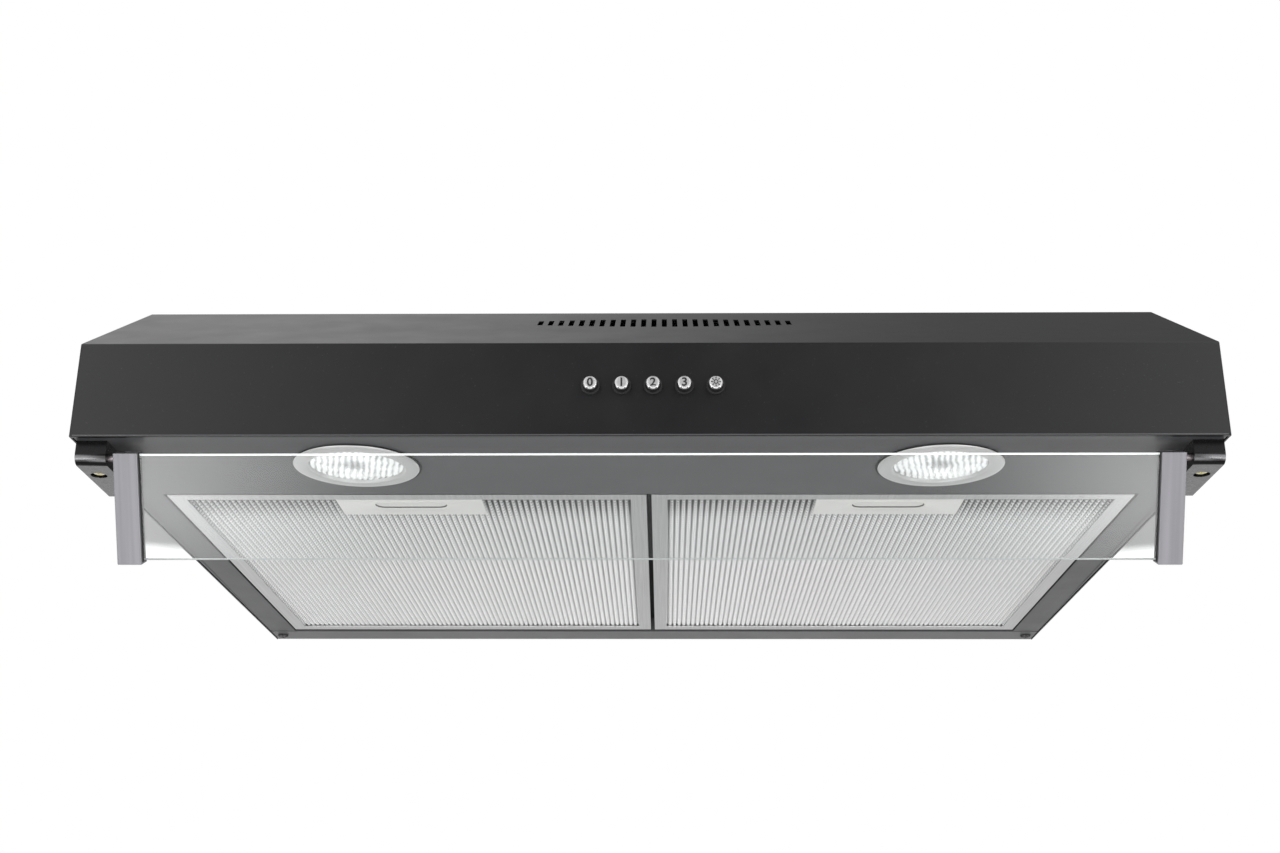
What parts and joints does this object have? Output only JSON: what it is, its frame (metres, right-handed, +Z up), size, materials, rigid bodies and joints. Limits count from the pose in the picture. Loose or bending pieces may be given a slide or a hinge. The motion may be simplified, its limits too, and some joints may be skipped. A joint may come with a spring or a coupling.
{
  "type": "under cabinet range hood",
  "caption": "Slim range hood for under a wall cabinet: folded canopy with a sloped slotted front, push buttons, lamps, mesh filters and a hinged glass visor.",
  "frame": {"origin": "centre of the four cabinet screws, on the top face", "axes": "+X to the right seen from the front, +Y towards the wall, +Z up"},
  "size_m": [0.598, 0.481, 0.2161],
  "materials": {
    "black_paint": "satin black powder coat",
    "underside_paint": "satin dark grey",
    "galvanised": "plain zinc-coated sheet",
    "filter_aluminium": "bright foil and expanded mesh",
    "trim_silver": "satin silver",
    "arm_grey": "satin grey",
    "lens": "clear ribbed",
    "pane": "clear float glass, green at its edges",
    "reflector": "bright metallised",
    "chrome_button": "polished",
    "black_plastic": "fine texture",
    "white_plastic": "smooth",
    "rubber": "matt",
    "spring_steel": "drawn wire",
    "steel": "plain",
    "bronze": "sintered",
    "yellow_zinc": "passivated",
    "black_steel": "black zinc",
    "wire_grey": "smooth sheath"
  },
  "bodies": {
    "canopy": {"canopy_shell": "black_paint", "back_panel": "galvanised", "underside_frame": "underside_paint", "centre_bar": "black_paint", "rear_rail": "underside_paint", "rail_screws": "black_steel", "hinge_bracket_left": "black_paint", "hinge_bracket_right": "black_paint", "bracket_screws": "yellow_zinc", "button_guide": "black_plastic", "switch_block": "black_plastic", "switch_springs": "spring_steel", "switch_bracket": "galvanised", "fan_housing_lower": "black_plastic", "fan_housing_upper": "black_plastic", "housing_screws": "steel", "motor_stator": "steel", "motor_bearings": "bronze", "motor_plate": "galvanised", "motor_mounts": "rubber", "duct_collar": "black_plastic", "recirculation_duct": "galvanised", "electrics_box": "white_plastic", "capacitor": "white_plastic", "cable_gland": "black_plastic", "wiring_loom": "wire_grey", "lamp_trim_left": "trim_silver", "lamp_lens_left": "lens", "lamp_reflector_left": "reflector", "lamp_led_left": "white_plastic", "lamp_trim_right": "trim_silver", "lamp_lens_right": "lens", "lamp_reflector_right": "reflector", "lamp_led_right": "white_plastic"},
    "visor": {"visor_glass": "pane", "visor_arm_left": "arm_grey", "visor_arm_right": "arm_grey", "visor_gaskets": "rubber", "visor_pins": "steel"},
    "fan": {"impeller": "white_plastic", "motor_rotor": "steel"},
    "damper_left": {"damper_flap_left": "black_plastic"},
    "damper_right": {"damper_flap_right": "black_plastic"},
    "diverter": {"diverter_flap": "black_plastic", "diverter_lever": "white_plastic"},
    "button_0": {"button_0": "chrome_button"},
    "button_1": {"button_1": "chrome_button"},
    "button_2": {"button_2": "chrome_button"},
    "button_3": {"button_3": "chrome_button"},
    "button_4": {"button_4": "chrome_button"},
    "filter_left": {"filter_left_frame": "filter_aluminium", "filter_left_mesh": "filter_aluminium", "filter_left_latch_case": "filter_aluminium", "filter_left_latch_springs": "spring_steel"},
    "latch_left": {"filter_left_latch_handle": "filter_aluminium"},
    "filter_right": {"filter_right_frame": "filter_aluminium", "filter_right_mesh": "filter_aluminium", "filter_right_latch_case": "filter_aluminium", "filter_right_latch_springs": "spring_steel"},
    "latch_right": {"filter_right_latch_handle": "filter_aluminium"}
  },
  "joints": [
    {"name": "visor_swing", "type": "hinge", "parent": "canopy", "child": "visor", "pos_m": [0, -0.2724, -0.1224], "axis": [1, 0, 0], "range_deg": [-95, 60]},
    {"name": "button_off_press", "type": "slide", "parent": "canopy", "child": "button_0", "axis": [0, 1, 0], "range_m": [0, 0.004], "stiffness_N_per_m": 300, "springref_m": -0.003, "deforming": ["switch_springs"]},
    {"name": "button_speed_1_press", "type": "slide", "parent": "canopy", "child": "button_1", "axis": [0, 1, 0], "range_m": [0, 0.004], "stiffness_N_per_m": 300, "springref_m": -0.003, "deforming": ["switch_springs"]},
    {"name": "button_speed_2_press", "type": "slide", "parent": "canopy", "child": "button_2", "axis": [0, 1, 0], "range_m": [0, 0.004], "stiffness_N_per_m": 300, "springref_m": -0.003, "deforming": ["switch_springs"]},
    {"name": "button_speed_3_press", "type": "slide", "parent": "canopy", "child": "button_3", "axis": [0, 1, 0], "range_m": [0, 0.004], "stiffness_N_per_m": 300, "springref_m": -0.003, "deforming": ["switch_springs"]},
    {"name": "button_light_press", "type": "slide", "parent": "canopy", "child": "button_4", "axis": [0, 1, 0], "range_m": [0, 0.004], "stiffness_N_per_m": 300, "springref_m": -0.003, "deforming": ["switch_springs"]},
    {"name": "filter_left_drop", "type": "hinge", "parent": "canopy", "child": "filter_left", "pos_m": [0, 0.1583, -0.1145], "axis": [1, 0, 0], "range_deg": [0, 60]},
    {"name": "latch_left_slide", "type": "slide", "parent": "filter_left", "child": "latch_left", "axis": [0, 1, 0], "range_m": [0, 0.006], "stiffness_N_per_m": 400, "springref_m": -0.003, "deforming": ["filter_left_latch_springs"]},
    {"name": "filter_right_drop", "type": "hinge", "parent": "canopy", "child": "filter_right", "pos_m": [0, 0.1583, -0.1145], "axis": [1, 0, 0], "range_deg": [0, 60]},
    {"name": "latch_right_slide", "type": "slide", "parent": "filter_right", "child": "latch_right", "axis": [0, 1, 0], "range_m": [0, 0.006], "stiffness_N_per_m": 400, "springref_m": -0.003, "deforming": ["filter_right_latch_springs"]},
    {"name": "fan_spin", "type": "hinge", "parent": "canopy", "child": "fan", "pos_m": [-0.16, 0.04, -0.04], "axis": [0, 0, 1], "continuous": true},
    {"name": "damper_left_swing", "type": "hinge", "parent": "canopy", "child": "damper_left", "pos_m": [-0.004, 0.105, 0.012], "axis": [0, 1, 0], "range_deg": [0, 75]},
    {"name": "damper_right_swing", "type": "hinge", "parent": "canopy", "child": "damper_right", "pos_m": [0.004, 0.105, 0.012], "axis": [0, -1, 0], "range_deg": [0, 75]},
    {"name": "diverter_turn", "type": "hinge", "parent": "canopy", "child": "diverter", "pos_m": [0, 0.042, -0.011], "axis": [1, 0, 0], "range_deg": [0, 70]}
  ]
}
